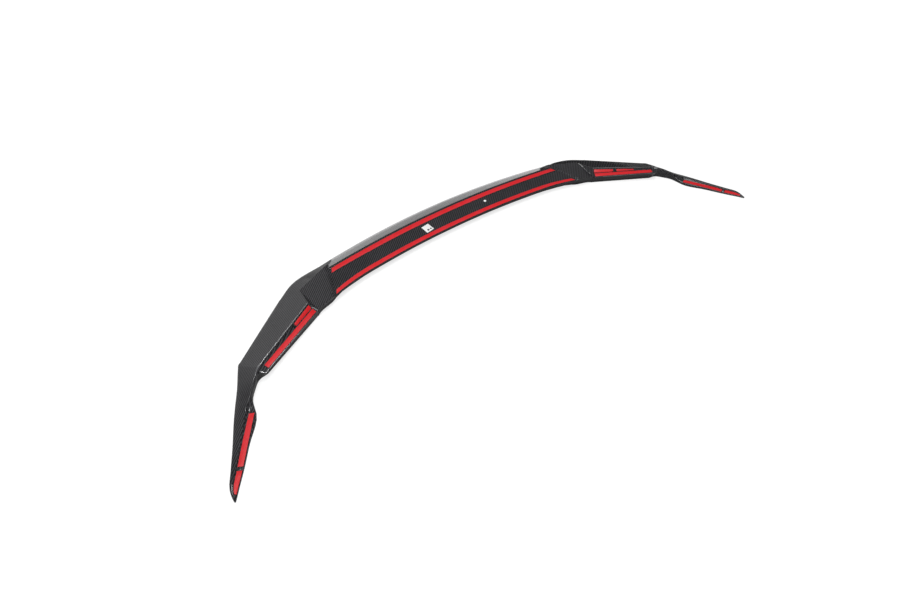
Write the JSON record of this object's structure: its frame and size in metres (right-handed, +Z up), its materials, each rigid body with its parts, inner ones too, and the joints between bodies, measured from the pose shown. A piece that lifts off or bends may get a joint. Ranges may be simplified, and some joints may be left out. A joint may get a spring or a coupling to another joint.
{
  "type": "front bumper lip",
  "caption": "Wide carbon lip that bonds and screws under a car's front bumper, curved across the front with an arm and a pointed tail on each side.",
  "frame": {"origin": "on the ground under the middle of the lip's bounding box, as it lies with its bonding side up", "axes": "+X across the car to the lip's right end in the picture, +Y towards the front of the car, +Z up"},
  "size_m": [1.8004, 0.5932, 0.0437],
  "materials": {
    "carbon": "clear-coated twill carbon weave",
    "tape_foam": "dark acrylic foam",
    "tape_liner": "smooth red film",
    "label": "plain white label",
    "sticker": "plain white round sticker"
  },
  "bodies": {
    "root": {"lip_shell": "carbon", "outer_tape_foam": "tape_foam", "outer_tape_liner": "tape_liner", "inner_tape_foam": "tape_foam", "inner_tape_liner": "tape_liner", "long_tape_foam_left": "tape_foam", "long_tape_liner_left": "tape_liner", "long_tape_foam_right": "tape_foam", "long_tape_liner_right": "tape_liner", "short_tape_foam_left": "tape_foam", "short_tape_liner_left": "tape_liner", "short_tape_foam_right": "tape_foam", "short_tape_liner_right": "tape_liner", "extra_tape_foam_right": "tape_foam", "extra_tape_liner_right": "tape_liner", "tail_tape_foam_left": "tape_foam", "tail_tape_liner_left": "tape_liner", "tail_tape_foam_right": "tape_foam", "tail_tape_liner_right": "tape_liner", "end_tape_foam_left": "tape_foam", "end_tape_liner_left": "tape_liner", "end_tape_foam_right": "tape_foam", "end_tape_liner_right": "tape_liner", "white_label": "label", "inspection_dot": "sticker"}
  },
  "joints": []
}
